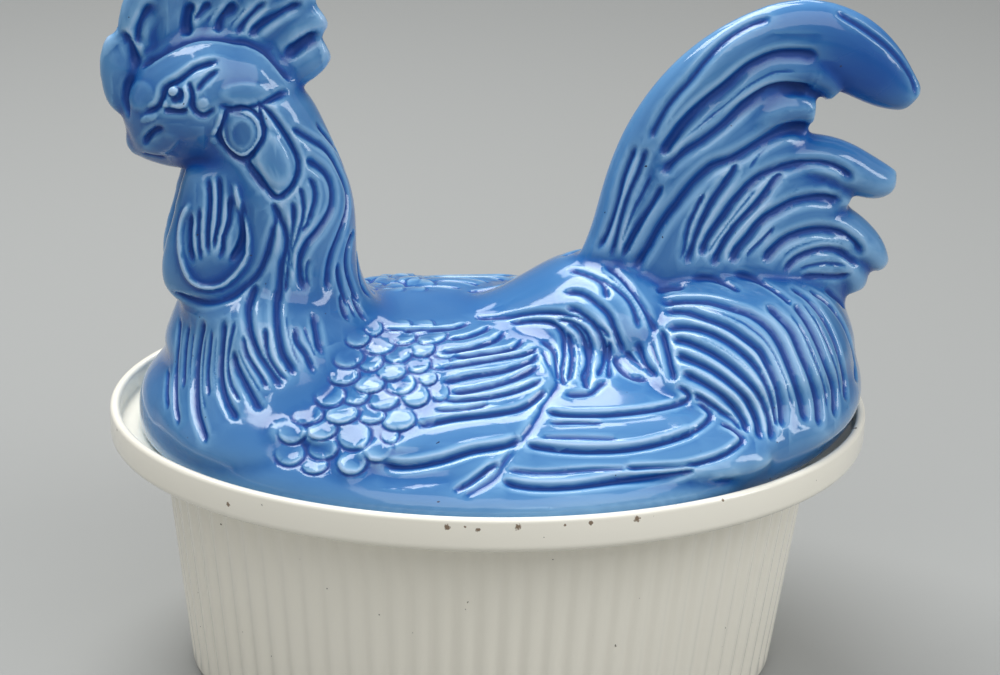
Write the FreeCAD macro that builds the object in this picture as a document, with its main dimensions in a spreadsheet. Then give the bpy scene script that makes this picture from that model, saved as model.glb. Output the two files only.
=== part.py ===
import FreeCAD, Part
import math
import os

# Soup tureen: an oval fluted bowl and a lid cast as a sitting rooster.
# Millimetres. The origin is the centre of the bowl's flat foot, +Z up, +X toward the tail.

doc = FreeCAD.newDocument("soup_tureen")
dims = doc.addObject("Spreadsheet::Sheet", "dims")

bowl_sizes = {
    "rim_length": 320.0, "rim_width": 246.0, "bowl_height": 120.0,
    "band_height": 15.0, "band_round": 4.0, "rim_wall": 4.0, "rim_round": 1.8,
    "gallery_depth": 10.0, "shoulder_width": 21.3, "wall_lean": 12.0,
    "bowl_wall": 5.2, "floor_thickness": 6.0, "floor_round": 14.0, "foot_round": 3.0,
    "flute_count": 80, "flute_depth": 0.9, "flute_fade": 9.0,
}
shell_sizes = {
    "seat_gap": 0.3, "edge_gap": 10.0, "lid_wall": 6.0, "flange_thickness": 7.0,
    "lip_depth": 9.0, "lip_gap": 2.5, "lip_wall": 6.0, "cut_overrun": 2.0,
}
body_sizes = {
    "body_height": 51.0, "body_shift": 4.6,
    "breast_place": 81.0, "breast_length": 132.0, "breast_width": 170.0, "breast_height": 66.0,
    "rump_place": 84.0, "rump_length": 146.0, "rump_width": 176.0, "rump_height": 72.5,
    "saddle_place": 32.0, "saddle_length": 80.0, "saddle_width": 100.0, "saddle_height": 66.0,
    "wing_place": 8.0, "wing_length": 186.0, "wing_breadth": 88.0, "wing_thickness": 19.5,
    "wing_spread": 62.8, "wing_rise": 30.2,
    "feather_width": 9.6, "feather_thickness": 3.8, "feather_proud": 1.2,
}
head_sizes = {
    "neck_place": 88.0, "neck_height": 112.0, "neck_length": 104.0, "neck_width": 86.0,
    "head_reach": 24.0, "head_length": 76.0, "head_height": 56.0, "head_width": 45.0,
    "beak_length": 30.0, "beak_height": 38.0, "beak_width": 28.0,
    "comb_length": 94.0, "comb_height": 69.0, "comb_width": 11.0, "comb_lobe": 16.0,
    "wattle_drop": 85.0, "wattle_length": 42.0, "wattle_width": 23.0, "wattle_spread": 13.0,
}
tail_sizes = {
    "tail_place": 37.0, "tail_length": 137.0, "tail_height": 147.0, "tail_width": 52.0,
    "sickle_depth": 34.0, "sickle_width": 26.0, "vane_depth": 19.0, "vane_width": 28.0,
}
sizes = {**bowl_sizes, **shell_sizes, **body_sizes, **head_sizes, **tail_sizes}
for row, (alias, value) in enumerate(sizes.items(), start=1):
    dims.set(f"A{row}", alias)
    dims.set(f"B{row}", str(value))
    dims.setAlias(f"B{row}", alias)
doc.recompute()


def size(alias):
    return float(dims.get(alias))


# An oval ring. Its deep radius lies in the figure's mid-plane and its wide radius along Y.
# An ellipse wants its larger radius first, so a broad ring is turned a quarter.
def ring(name, x, y, z, deep, wide, lean=0, broad=False, tilt=0, spin=0):
    oval = doc.addObject("Part::Ellipse", name)
    turn = FreeCAD.Rotation(FreeCAD.Vector(1, 0, 0), tilt)
    turn = turn * FreeCAD.Rotation(FreeCAD.Vector(0, 1, 0), lean)
    turn = turn * FreeCAD.Rotation(FreeCAD.Vector(0, 0, 1), 90 if broad else spin)
    oval.Placement.Rotation = turn
    oval.setExpression("MajorRadius", wide if broad else deep)
    oval.setExpression("MinorRadius", deep if broad else wide)
    oval.setExpression("Placement.Base.x", x)
    oval.setExpression("Placement.Base.y", y)
    oval.setExpression("Placement.Base.z", z)
    return oval


def loft(name, rings, ruled=False):
    solid = doc.addObject("Part::Loft", name)
    solid.Sections = rings
    solid.Solid = True
    solid.Ruled = ruled
    return solid


def slab(name, oval, thickness):
    solid = doc.addObject("Part::Extrusion", name)
    solid.Base = oval
    solid.DirMode = "Normal"
    solid.Solid = True
    solid.setExpression("LengthFwd", thickness)
    return solid


fusions = []


def fuse(name, shapes):
    whole = doc.addObject("Part::MultiFuse", name)
    whole.Shapes = shapes
    whole.Refine = False
    fusions.append(whole)
    return whole


def cut(name, base, tool):
    rest = doc.addObject("Part::Cut", name)
    rest.Base = base
    rest.Tool = tool
    rest.Refine = False
    return rest


# Rounds the level edges of a solid that lie at a given height and half length.
reach_share = 0.5


def soften(name, base, places, radius):
    doc.recompute()
    chosen = []
    for index, edge in enumerate(base.Shape.Edges, start=1):
        box = edge.BoundBox
        for height, half_length in places:
            level = abs(box.ZMin - height) + abs(box.ZMax - height)
            if level + abs(box.XMax - half_length) < radius * reach_share:
                chosen.append((index, radius, radius))
    rounded = doc.addObject("Part::Fillet", name)
    rounded.Base = base
    rounded.Edges = chosen
    return rounded


# The bowl.
foot_shrink = "dims.shoulder_width + dims.wall_lean"
rim_half_length = "dims.rim_length / 2"
rim_half_width = "dims.rim_width / 2"
gallery_floor = "dims.bowl_height - dims.gallery_depth"
band_bottom = "dims.bowl_height - dims.band_height"


# Angles that divide an oval into equal walks along its edge.
steps_per_point = 40


def even_angles(half_length, half_width, count):
    steps = steps_per_point * count
    walk = [0.0]
    for step in range(steps):
        angle = 2 * math.pi * (step + 0.5) / steps
        stride = math.hypot(half_length * math.sin(angle), half_width * math.cos(angle))
        walk.append(walk[-1] + stride)
    angles = []
    step = 0
    for index in range(count):
        goal = walk[-1] * index / count
        while walk[step + 1] <= goal:
            step += 1
        part = (goal - walk[step]) / (walk[step + 1] - walk[step])
        angles.append(2 * math.pi * (step + part) / steps)
    return angles


# A closed wavy line round the wall: each flute is one shallow wave.
points_per_flute = 4


def fluted_ring(name, height, inset, depth):
    half_length = size("rim_length") / 2 - size("shoulder_width") - inset
    half_width = size("rim_width") / 2 - size("shoulder_width") - inset
    angles = even_angles(half_length, half_width, points_per_flute * round(size("flute_count")))
    points = []
    for index, angle in enumerate(angles):
        dip = depth * (1 - math.cos(2 * math.pi * index / points_per_flute)) / 2
        points.append(FreeCAD.Vector(
            (half_length - dip) * math.cos(angle), (half_width - dip) * math.sin(angle), height))
    line = Part.BSplineCurve()
    line.interpolate(points, PeriodicFlag=True)
    wavy = doc.addObject("Part::Feature", name)
    wavy.Shape = Part.Wire([line.toShape()])
    return wavy


def fluted_wall():
    rings = []
    wall_height = size("bowl_height") - size("band_height")
    lean = size("wall_lean") / wall_height
    foot_steps = 3
    for step in range(foot_steps):
        angle = math.pi / 2 * step / foot_steps
        height = size("foot_round") * (1 - math.cos(angle))
        inset = size("wall_lean") - lean * height + size("foot_round") * (1 - math.sin(angle))
        rings.append(fluted_ring(f"foot_ring_{step}", height, inset, 0.0))
    fade = size("flute_fade")
    for name, height, depth in (
            ("flute_start", size("foot_round"), 0.0),
            ("flute_low", size("foot_round") + fade, size("flute_depth")),
            ("flute_high", wall_height - fade, size("flute_depth")),
            ("flute_end", wall_height, 0.0)):
        rings.append(fluted_ring(name, height, size("wall_lean") - lean * height, depth))
    return loft("fluted_wall", rings, ruled=True)


def build_bowl():
    band = slab("rim_band", ring(
        "rim_oval", "0", "0", band_bottom, rim_half_length, rim_half_width),
        "dims.band_height")
    band = soften("soft_band", band, [(
        size("bowl_height") - size("band_height"), size("rim_length") / 2)], size("band_round"))
    blank = fuse("bowl_blank", [fluted_wall(), band])
    shrink = f"{foot_shrink} + dims.bowl_wall"
    floor_oval = ring(
        "floor_oval", "0", "0", "dims.floor_thickness",
        f"{rim_half_length} - ({shrink})", f"{rim_half_width} - ({shrink})")
    mouth_oval = ring(
        "mouth_oval", "0", "0", gallery_floor,
        f"{rim_half_length} - dims.shoulder_width - dims.bowl_wall",
        f"{rim_half_width} - dims.shoulder_width - dims.bowl_wall")
    soup_room = loft("soup_room", [floor_oval, mouth_oval], ruled=True)
    soup_room = soften("soft_soup_room", soup_room, [(
        size("floor_thickness"),
        size("rim_length") / 2 - size("shoulder_width") - size("wall_lean")
        - size("bowl_wall"))], size("floor_round"))
    gallery = slab("gallery_room", ring(
        "gallery_oval", "0", "0", gallery_floor,
        f"{rim_half_length} - dims.rim_wall", f"{rim_half_width} - dims.rim_wall"),
        "dims.gallery_depth + dims.cut_overrun")
    hollowed = cut("hollowed_bowl", blank, fuse("bowl_rooms", [soup_room, gallery]))
    top = size("bowl_height")
    bowl = soften("fluted_bowl", hollowed, [
        (top, size("rim_length") / 2),
        (top, size("rim_length") / 2 - size("rim_wall")),
        (top - size("gallery_depth"),
         size("rim_length") / 2 - size("shoulder_width") - size("bowl_wall"))],
        size("rim_round"))
    bowl.Label = "fluted_bowl"
    return bowl


# The lid, in its own frame: z is 0 at the flange's underside.
# One swelling of the figure is a loft through rings. Each row of its table is
# (x share, z share, lean, deep share, wide share) of the swelling's own sizes.
def limb(name, rows, x, z, length, height, deep, wide, broad=False, y="0", inset=None):
    rings = []
    thinner = f" - {inset}" if inset else ""
    for index, (x_share, z_share, lean, deep_share, wide_share) in enumerate(rows):
        rings.append(ring(
            f"{name}_ring_{index}",
            f"{x} + {length} * {x_share}", y, f"{z} + {height} * {z_share}",
            f"{deep} * {deep_share} / 2{thinner}", f"{wide} * {wide_share} / 2{thinner}",
            lean, broad))
    return loft(name, rings, ruled=inset is not None)


flange_length = "(dims.rim_length - 2 * dims.rim_wall - 2 * dims.edge_gap)"
flange_width = "(dims.rim_width - 2 * dims.rim_wall - 2 * dims.edge_gap)"
lip_shrink = "dims.shoulder_width + dims.bowl_wall + dims.lip_gap"

# How high the neck, saddle and tail are rooted in the body, and the head on the neck.
neck_foot_share = 0.69
saddle_foot_share = 0.83
tail_foot_share = 0.863
head_foot_share = 0.973
tail_root_share = 0.76
rump_inset_share = 1.2
neck_foot = f"dims.body_height * {neck_foot_share}"
head_x = "-dims.neck_place - dims.head_reach"
head_z = f"{neck_foot} + dims.neck_height * {head_foot_share}"
tail_foot = f"dims.body_height * {tail_foot_share}"
tail_root = f"dims.tail_length * {tail_root_share}"
tail_place = ("dims.tail_place", tail_foot, "dims.tail_length", "dims.tail_height")

body_shares = [
    (0.0, 0.0, 0, 1.0, 1.0), (0.54, 0.157, 0, 1.031, 1.05), (1.0, 0.275, 0, 1.041, 1.01),
    (1.0, 0.39, 0, 1.027, 0.92), (1.0, 0.51, 0, 1.0, 0.81), (1.0, 0.63, 0, 0.959, 0.67),
    (1.0, 0.745, 0, 0.89, 0.535), (1.0, 0.863, 0, 0.788, 0.405), (1.0, 0.96, 0, 0.65, 0.275),
    (1.0, 1.0, 0, 0.534, 0.165)]
body_room_share = body_shares[2][1]
room_rise_share = 1.08
room_rise = f"dims.body_height * {room_rise_share}"
breast_shares = [
    (0.004, 0.08, 0, 0.977, 0.96), (0.002, 0.24, 0, 0.977, 0.978),
    (-0.008, 0.45, 0, 0.848, 0.8), (-0.038, 0.65, 0, 0.685, 0.62),
    (-0.085, 0.83, 0, 0.575, 0.52), (-0.12, 1.0, 0, 0.36, 0.33)]
rump_shares = [
    (-0.01, 0.07, 0, 0.92, 0.92), (-0.008, 0.15, 0, 0.958, 0.955),
    (-0.003, 0.25, 0, 1.0, 1.0), (0.014, 0.37, 0, 0.959, 0.943),
    (0.052, 0.55, 0, 0.842, 0.83), (0.082, 0.72, 0, 0.719, 0.705),
    (0.1, 0.855, 0, 0.582, 0.585), (0.1, 0.96, 0, 0.37, 0.375),
    (0.1, 1.0, 0, 0.205, 0.205)]
saddle_shares = [
    (-0.5, -0.06, 90, 0.42, 0.44), (-0.25, -0.01, 90, 0.6, 0.6), (0.0, 0.0, 90, 0.87, 0.78),
    (0.25, 0.0, 90, 0.93, 0.9), (0.5, -0.06, 90, 0.88, 0.92)]
neck_shares = [
    (0.0, 0.0, 0, 1.0, 1.0), (-0.019, 0.134, 0, 0.846, 0.849), (-0.029, 0.223, 0, 0.731, 0.733),
    (-0.024, 0.366, 0, 0.644, 0.64), (-0.019, 0.563, 0, 0.596, 0.593),
    (-0.058, 0.75, 0, 0.538, 0.535), (-0.111, 0.884, 0, 0.51, 0.5),
    (-0.168, 1.0, 0, 0.433, 0.419)]
head_shares = [
    (0.42, -0.13, -90, 0.25, 0.26), (0.37, -0.107, -90, 0.5, 0.5), (0.276, -0.07, -90, 0.714, 0.71),
    (0.171, -0.045, -90, 0.84, 0.85), (0.026, -0.036, -90, 0.93, 0.95),
    (-0.118, -0.027, -90, 0.95, 1.0), (-0.224, -0.045, -90, 0.91, 0.95),
    (-0.303, -0.071, -90, 0.857, 0.87), (-0.382, -0.107, -90, 0.768, 0.75),
    (-0.447, -0.143, -90, 0.63, 0.6), (-0.487, -0.14, -90, 0.43, 0.42),
    (-0.513, -0.14, -90, 0.25, 0.25)]
beak_shares = [
    (-0.27, -0.32, -90, 1.0, 1.0), (-0.73, -0.39, -95, 0.79, 0.786),
    (-1.03, -0.49, -103, 0.553, 0.571), (-1.2, -0.58, -112, 0.316, 0.321),
    (-1.27, -0.64, -120, 0.132, 0.143)]
wattle_shares = [
    (-0.09, -0.33, 0, 0.62, 0.6), (-0.06, -0.46, 0, 0.73, 0.826), (-0.075, -0.635, 0, 0.89, 1.0),
    (-0.107, -0.788, 0, 1.0, 1.0), (-0.15, -0.918, 0, 0.9, 0.826),
    (-0.16, -1.0, 0, 0.68, 0.56), (-0.16, -1.04, 0, 0.36, 0.3)]
tail_core_shares = [
    (0.44, -0.02, 0, 1.0, 1.0), (0.445, 0.19, 0, 1.03, 0.92), (0.445, 0.39, 0, 0.9, 0.73),
    (0.415, 0.56, 0, 0.67, 0.54), (0.46, 0.7, 0, 0.42, 0.35)]

# Lobes of the comb, front to back: (x share, z share, lean, thickness share) from root to tip.
comb_shares = [
    [(-0.36, -0.12, -35, 0.62), (-0.42, 0.0, -20, 0.92), (-0.44, 0.16, 0, 0.95),
     (-0.44, 0.32, 10, 0.5)],
    [(-0.33, 0.14, -5, 0.8), (-0.36, 0.34, -3, 0.98), (-0.335, 0.52, 12, 0.95),
     (-0.285, 0.68, 20, 0.5)],
    [(-0.234, 0.2, 3, 1.0), (-0.223, 0.45, 5, 0.95), (-0.202, 0.67, 8, 0.95),
     (-0.18, 0.87, 10, 0.5)],
    [(-0.128, 0.29, 8, 0.82), (-0.106, 0.49, 10, 0.82), (-0.08, 0.7, 12, 0.82),
     (-0.053, 0.884, 14, 0.45)],
    [(-0.043, 0.3, 14, 0.82), (0.0, 0.51, 17, 0.84), (0.043, 0.7, 19, 0.84),
     (0.085, 0.855, 20, 0.45)],
    [(0.043, 0.275, 28, 0.85), (0.117, 0.46, 32, 0.93), (0.202, 0.64, 35, 0.93),
     (0.266, 0.754, 37, 0.5)],
    [(0.106, 0.246, 42, 0.82), (0.202, 0.39, 44, 0.9), (0.309, 0.52, 46, 0.9),
     (0.372, 0.61, 47, 0.5)],
    [(0.17, 0.2, 52, 0.85), (0.266, 0.304, 53, 0.95), (0.362, 0.406, 54, 1.0),
     (0.426, 0.45, 56, 0.6)],
    [(0.2, 0.06, 62, 1.05), (0.298, 0.135, 62, 1.08), (0.383, 0.21, 62, 1.02),
     (0.441, 0.26, 62, 0.62)]]

# The long sickle along the tail's back and the shorter vanes under it:
# (x share, z share, lean, depth share, width share) from root to tip.
sickle_shares = [
    (0.1, 0.0, 2, 0.85, 0.9), (0.097, 0.229, 8, 0.74, 0.85), (0.133, 0.36, 15, 0.74, 0.85),
    (0.178, 0.501, 22, 0.74, 0.8), (0.314, 0.687, 42, 0.82, 0.8), (0.474, 0.79, 66, 0.92, 0.8),
    (0.642, 0.825, 90, 1.0, 0.8), (0.796, 0.78, 114, 0.94, 0.75), (0.9, 0.71, 128, 0.7, 0.6),
    (0.974, 0.66, 134, 0.33, 0.3)]
vane_shares = [
    [(0.2, 0.1, 5, 1.1, 0.88), (0.285, 0.46, 20, 1.0, 0.84), (0.4, 0.64, 42, 1.0, 0.82),
     (0.555, 0.745, 68, 1.0, 0.82), (0.68, 0.74, 100, 0.9, 0.75), (0.74, 0.68, 125, 0.6, 0.5)],
    [(0.27, 0.1, 8, 1.05, 0.92), (0.35, 0.42, 25, 1.0, 0.9), (0.46, 0.57, 48, 1.0, 0.88),
     (0.58, 0.64, 70, 0.96, 0.85), (0.675, 0.625, 96, 0.74, 0.66)],
    [(0.22, 0.02, 4, 1.05, 1.0), (0.3, 0.33, 20, 1.0, 0.98), (0.43, 0.46, 45, 1.0, 0.96),
     (0.591, 0.488, 75, 1.0, 0.92), (0.723, 0.478, 95, 1.08, 0.88), (0.84, 0.438, 102, 1.0, 0.78),
     (0.94, 0.414, 106, 0.42, 0.36)],
    [(0.33, 0.02, 8, 1.0, 1.05), (0.42, 0.3, 28, 0.9, 1.02), (0.56, 0.4, 58, 0.86, 1.0),
     (0.7, 0.405, 88, 0.86, 0.92), (0.8, 0.36, 112, 0.6, 0.6)],
    [(0.44, 0.0, 14, 1.0, 1.1), (0.54, 0.243, 38, 0.9, 1.08), (0.664, 0.311, 70, 0.9, 1.02),
     (0.774, 0.287, 105, 0.95, 0.92), (0.847, 0.236, 128, 0.9, 0.8), (0.898, 0.192, 135, 0.63, 0.56),
     (0.934, 0.161, 138, 0.32, 0.28)],
    [(0.56, 0.0, 20, 0.9, 1.05), (0.65, 0.17, 60, 0.9, 1.05), (0.752, 0.202, 95, 0.9, 1.0),
     (0.825, 0.148, 140, 0.84, 0.84), (0.84, 0.093, 165, 0.63, 0.6)]]

# Wing stations: (x share, breadth share, thickness share, spread share, rise share).
# The wing lies against the body's side, turned by wing_tilt degrees about its own length.
wing_tilt = -68
wing_shares = [
    (-0.47, 0.22, 0.24, 1.1, 0.86), (-0.37, 0.66, 0.74, 1.03, 0.96), (-0.21, 0.97, 1.0, 1.0, 1.0),
    (0.01, 1.0, 1.0, 1.0, 1.0), (0.2, 0.86, 0.95, 1.07, 0.95), (0.36, 0.6, 0.8, 1.2, 0.84),
    (0.47, 0.34, 0.56, 1.3, 0.7), (0.52, 0.14, 0.26, 1.35, 0.63)]

# The wing's main scales and long feathers, each a thin oval plate set into its face:
# (place along the wing, place across it, height on it, length) as shares of the wing,
# then the face's slope and the feather's spin in degrees.
feather_shares = [
    ((-0.318, -0.387, 0.19, 0.072), 14, 8), ((-0.214, -0.311, 0.36, 0.072), 12, 8),
    ((-0.281, -0.165, 0.42, 0.072), 16, 4), ((-0.394, -0.174, 0.24, 0.072), 30, -4),
    ((-0.221, -0.097, 0.48, 0.072), 19, 4), ((-0.335, -0.071, 0.38, 0.072), 19, 0),
    ((-0.244, 0.018, 0.48, 0.072), 22, 4), ((-0.4, 0.092, 0.27, 0.072), 25, -4),
    ((-0.281, 0.157, 0.43, 0.072), 28, 4), ((-0.447, 0.16, 0.11, 0.072), 33, -8),
    ((-0.335, 0.3, 0.24, 0.072), 36, 0), ((-0.381, 0.342, 0.05, 0.072), 36, -6),
    ((-0.519, 0.114, -0.01, 0.066), 38, -8),
    ((-0.105, -0.371, 0.33, 0.15), 12, 26), ((-0.072, -0.239, 0.41, 0.23), 16, 25),
    ((-0.076, 0.015, 0.48, 0.255), 22, 20), ((-0.151, 0.238, 0.39, 0.315), 31, 11)]


def mirrored(name, source):
    copy = doc.addObject("Part::Mirroring", name)
    copy.Source = source
    copy.Normal = FreeCAD.Vector(0, 1, 0)
    return copy


def near_wing():
    rings = []
    for index, (x_share, breadth, thickness, spread, rise) in enumerate(wing_shares):
        rings.append(ring(
            f"wing_ring_{index}", f"dims.wing_place + dims.wing_length * {x_share}",
            f"-dims.wing_spread * {spread}", f"dims.wing_rise * {rise}",
            f"dims.wing_breadth * {breadth} / 2", f"dims.wing_thickness * {thickness} / 2",
            lean=90, tilt=wing_tilt))
    return loft("near_wing", rings)


def wing_feathers():
    across, outward = math.sin(math.radians(-wing_tilt)), math.cos(math.radians(wing_tilt))
    feathers = []
    for index, (shares, slope, spin) in enumerate(feather_shares):
        along_share, across_share, height_share, length_share = shares
        low = f"dims.wing_breadth * {across_share}"
        high = (f"(dims.wing_thickness * {height_share} - dims.feather_thickness"
                " + dims.feather_proud)")
        oval = ring(
            f"feather_oval_{index}", f"dims.wing_place + dims.wing_length * {along_share}",
            f"-dims.wing_spread - {low} * {across} - {high} * {outward}",
            f"dims.wing_rise - {low} * {outward} + {high} * {across}",
            f"dims.wing_length * {length_share} / 2", "dims.feather_width / 2",
            tilt=slope, spin=spin)
        feather = slab(f"feather_{index}", oval, "dims.feather_thickness")
        feathers += [feather, mirrored(f"far_feather_{index}", feather)]
    return feathers


def torso():
    body = limb("body", body_shares, "0", "0", "dims.body_shift", "dims.body_height",
                flange_length, flange_width)
    breast = limb("breast", breast_shares, "-dims.breast_place", "0", "dims.breast_length",
                  "dims.breast_height", "dims.breast_length", "dims.breast_width", broad=True)
    rump = limb("rump", rump_shares, "dims.rump_place", "0", "dims.rump_length",
                "dims.rump_height", "dims.rump_length", "dims.rump_width", broad=True)
    saddle = limb("saddle", saddle_shares, "dims.saddle_place",
                  f"dims.body_height * {saddle_foot_share}", "dims.saddle_length",
                  "dims.saddle_height", "dims.saddle_height", "dims.saddle_width", broad=True)
    wing = near_wing()
    wings = [wing, mirrored("far_wing", wing)]
    return fuse("torso", [body, breast, rump, saddle] + wings + wing_feathers())


def crested_head():
    head = limb("head", head_shares, head_x, head_z, "dims.head_length", "dims.head_height",
                "dims.head_height", "dims.head_width")
    beak = limb("beak", beak_shares, head_x, head_z, "dims.beak_length", "dims.beak_height",
                "dims.beak_height", "dims.beak_width")
    lobes = []
    for index, rows in enumerate(comb_shares):
        full_rows = [(x, z, lean, part, part) for x, z, lean, part in rows]
        lobes.append(limb(
            f"comb_lobe_{index}", full_rows, head_x, head_z, "dims.comb_length",
            "dims.comb_height", "dims.comb_lobe", "dims.comb_width"))
    return fuse("crested_head", [head, beak] + lobes)


def wattled_neck():
    neck = limb("neck", neck_shares, "-dims.neck_place", neck_foot, "dims.neck_length",
                "dims.neck_height", "dims.neck_length", "dims.neck_width")
    wattle = limb("wattle", wattle_shares, head_x, head_z, "dims.wattle_length",
                  "dims.wattle_drop", "dims.wattle_length", "dims.wattle_width",
                  y="-dims.wattle_spread")
    return fuse("wattled_neck", [neck, wattle, mirrored("far_wattle", wattle)])


def bust():
    return fuse("bust", [crested_head(), wattled_neck()])


def tail():
    pieces = [
        limb("tail_core", tail_core_shares, *tail_place, tail_root, "dims.tail_width"),
        limb("sickle", sickle_shares, *tail_place, "dims.sickle_depth", "dims.sickle_width")]
    for index, rows in enumerate(vane_shares):
        pieces.append(limb(
            f"vane_{index}", rows, *tail_place, "dims.vane_depth", "dims.vane_width", broad=True))
    return fuse("tail", pieces)


def lip_slab(name, bottom, shrink, thickness):
    oval = ring(f"{name}_oval", "0", "0", bottom,
                f"{rim_half_length} - ({shrink})", f"{rim_half_width} - ({shrink})")
    return slab(name, oval, thickness)


# The hollow under the figure: the lid is one cast wall, open at the bottom.
def lid_rooms():
    bore = lip_slab(
        "lip_bore", "-dims.lip_depth - dims.cut_overrun", f"{lip_shrink} + dims.lip_wall",
        "dims.lip_depth + dims.flange_thickness + 2 * dims.cut_overrun")
    body_room = limb("body_room", body_shares[2:9], "0",
                     f"dims.flange_thickness - {room_rise} * {body_room_share}",
                     "dims.body_shift", room_rise,
                     flange_length, flange_width, inset="dims.lid_wall")
    neck_room = limb("neck_room", neck_shares[:6], "-dims.neck_place", neck_foot,
                     "dims.neck_length", "dims.neck_height", "dims.neck_length",
                     "dims.neck_width", inset="dims.lid_wall")
    rump_room = limb("rump_room", rump_shares[3:8], "dims.rump_place", "0",
                     "dims.rump_length", "(dims.rump_height - dims.lid_wall)",
                     "dims.rump_length", "dims.rump_width", broad=True,
                     inset=f"dims.lid_wall * {rump_inset_share}")
    tail_room = limb("tail_room", tail_core_shares[:4], *tail_place,
                     tail_root, "dims.tail_width", inset="dims.lid_wall")
    return fuse("lid_rooms", [body_room, neck_room, rump_room, tail_room, bore])


def build_lid():
    lip = lip_slab("lip", "-dims.lip_depth", lip_shrink, "dims.lip_depth + dims.flange_thickness")
    figure = fuse("figure", [torso(), lip, bust(), tail()])
    lid = cut("rooster_lid", figure, lid_rooms())
    lid.Label = "rooster_lid"
    lid.setExpression("Placement.Base.z", f"{gallery_floor} + dims.seat_gap")
    return lid


sub_parts = [build_bowl(), build_lid()]
doc.recompute()

for thing in doc.Objects:
    if "Invalid" in thing.State or "Error" in thing.State:
        raise RuntimeError(f"{thing.Name} did not build: {thing.State}")

# A fusion holds at least as much as the largest shape that went into it, in one solid.
for whole in fusions:
    largest = max(source.Shape.Volume for source in whole.Shapes)
    if len(whole.Shape.Solids) != 1 or whole.Shape.Volume < largest:
        raise RuntimeError(f"{whole.Name} lost a shape")

os.makedirs("parts", exist_ok=True)
for sub_part in sub_parts:
    shape = sub_part.Shape
    if shape.isNull() or not shape.isValid() or len(shape.Solids) != 1:
        raise RuntimeError(f"{sub_part.Label} is not one valid solid")
    shape.exportStep(f"parts/{sub_part.Label}.step")
    box = shape.BoundBox
    print(sub_part.Label, "has", len(shape.Faces), "faces, box",
          [round(edge, 1) for edge in (box.XMin, box.XMax, box.YMin, box.YMax, box.ZMin, box.ZMax)])
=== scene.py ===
import math

import bpy
import numpy as np
from mathutils import Matrix, Vector
from mathutils.bvhtree import BVHTree


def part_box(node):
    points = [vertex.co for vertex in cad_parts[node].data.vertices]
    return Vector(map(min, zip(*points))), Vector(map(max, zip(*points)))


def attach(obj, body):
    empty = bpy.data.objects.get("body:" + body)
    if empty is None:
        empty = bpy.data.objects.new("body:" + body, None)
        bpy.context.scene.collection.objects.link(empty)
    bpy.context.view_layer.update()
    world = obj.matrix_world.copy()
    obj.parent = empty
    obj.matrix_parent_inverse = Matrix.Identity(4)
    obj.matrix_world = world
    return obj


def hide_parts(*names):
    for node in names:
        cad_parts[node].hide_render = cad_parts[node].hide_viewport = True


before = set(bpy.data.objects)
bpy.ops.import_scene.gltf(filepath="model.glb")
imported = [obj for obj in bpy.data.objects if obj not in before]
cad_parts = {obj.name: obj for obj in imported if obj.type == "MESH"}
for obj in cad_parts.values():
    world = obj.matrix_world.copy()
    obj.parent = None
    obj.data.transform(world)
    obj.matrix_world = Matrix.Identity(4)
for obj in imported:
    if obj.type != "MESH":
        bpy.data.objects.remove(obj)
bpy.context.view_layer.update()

print("frame loaded:", sorted(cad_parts))

# Small helpers
mm = 0.001


def deselectAll():
    for item in bpy.context.selected_objects:
        item.select_set(False)


def makeActive(piece):
    deselectAll()
    piece.select_set(True)
    bpy.context.view_layer.objects.active = piece


def addModifier(piece, kind, **settings):  # adds a modifier and applies it at once
    makeActive(piece)
    modifier = piece.modifiers.new(kind.lower(), kind)
    for key, value in settings.items():
        setattr(modifier, key, value)
    bpy.ops.object.modifier_apply(modifier=modifier.name)


def readRows(rows, key):  # a mesh's places or normals as an array of three columns
    flat = np.empty(len(rows) * 3, np.float32)
    rows.foreach_get(key, flat)
    return flat.reshape(-1, 3).astype(np.float64)


def moveVertices(mesh, points):
    mesh.vertices.foreach_set("co", points.astype(np.float32).ravel())
    mesh.update()


def surfaceTree(piece):  # for rays cast at the piece as it now is
    return BVHTree.FromPolygons([vertex.co.copy() for vertex in piece.data.vertices],
                                [tuple(face.vertices) for face in piece.data.polygons])


def ease(value):  # smooth step from 0 to 1
    value = np.clip(value, 0.0, 1.0)
    return value * value * (3.0 - 2.0 * value)


# Camera
cameraView = {
    "place": (-0.11457, -1.00902, 0.54280),  # metres
    "heading": -6.654, "pitch": 21.314, "roll": 1.917,  # degrees
    "lens": 93.23, "sensor": 36.0,  # millimetres
    "picture": (1000, 675),  # pixels
}


def cameraAxes():
    heading, pitch, roll = (math.radians(cameraView[key]) for key in ("heading", "pitch", "roll"))
    flat = math.cos(pitch)
    forward = Vector((-math.sin(heading) * flat, math.cos(heading) * flat, -math.sin(pitch)))
    level = Vector((math.cos(heading), math.sin(heading), 0.0))
    upright = level.cross(forward)
    right = level * math.cos(roll) + upright * math.sin(roll)
    up = upright * math.cos(roll) - level * math.sin(roll)
    return right, up, forward


viewRight, viewUp, viewForward = cameraAxes()
viewPlace = Vector(cameraView["place"])
focalPixels = cameraView["lens"] / cameraView["sensor"] * cameraView["picture"][0]
pixelCentre = (cameraView["picture"][0] / 2, cameraView["picture"][1] / 2)


def addCamera():
    camera = bpy.data.cameras.new("photoCamera")
    camera.lens = cameraView["lens"]
    camera.sensor_width = cameraView["sensor"]
    holder = bpy.data.objects.new("photoCamera", camera)
    bpy.context.scene.collection.objects.link(holder)
    turn = Matrix((viewRight, viewUp, -viewForward)).transposed().to_4x4()
    holder.matrix_world = Matrix.Translation(viewPlace) @ turn
    bpy.context.scene.camera = holder


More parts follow.
